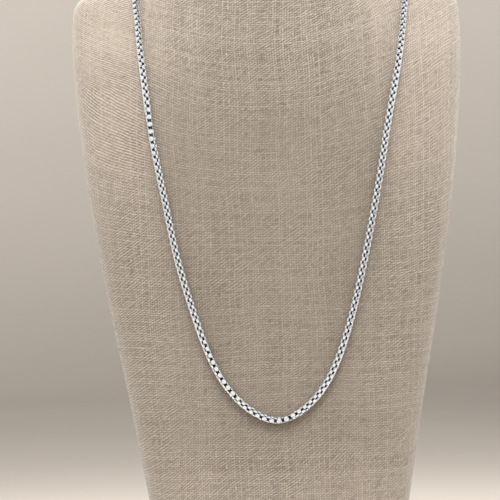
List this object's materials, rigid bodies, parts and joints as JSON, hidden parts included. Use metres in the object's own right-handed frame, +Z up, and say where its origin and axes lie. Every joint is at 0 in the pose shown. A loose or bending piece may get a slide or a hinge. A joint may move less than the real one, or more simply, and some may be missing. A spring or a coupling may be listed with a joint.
{
  "type": "box chain on a neck bust",
  "caption": "Rounded box chain necklace, closed by a barrel clasp at the nape, worn on a plain linen-covered neck bust that holds it.",
  "frame": {"origin": "on the bust's flat base, under the middle of the whole object", "axes": "+Z is up along the neck, -Y is the chest's front, +X is to the right as seen from the front"},
  "size_m": [0.1692, 0.0887, 0.32],
  "materials": {
    "linen": "plain woven linen, natural",
    "silver": "polished"
  },
  "bodies": {
    "root": {"bust": "linen", "chain": "silver", "ring_left": "silver", "ring_right": "silver", "clasp": "silver"}
  },
  "joints": []
}
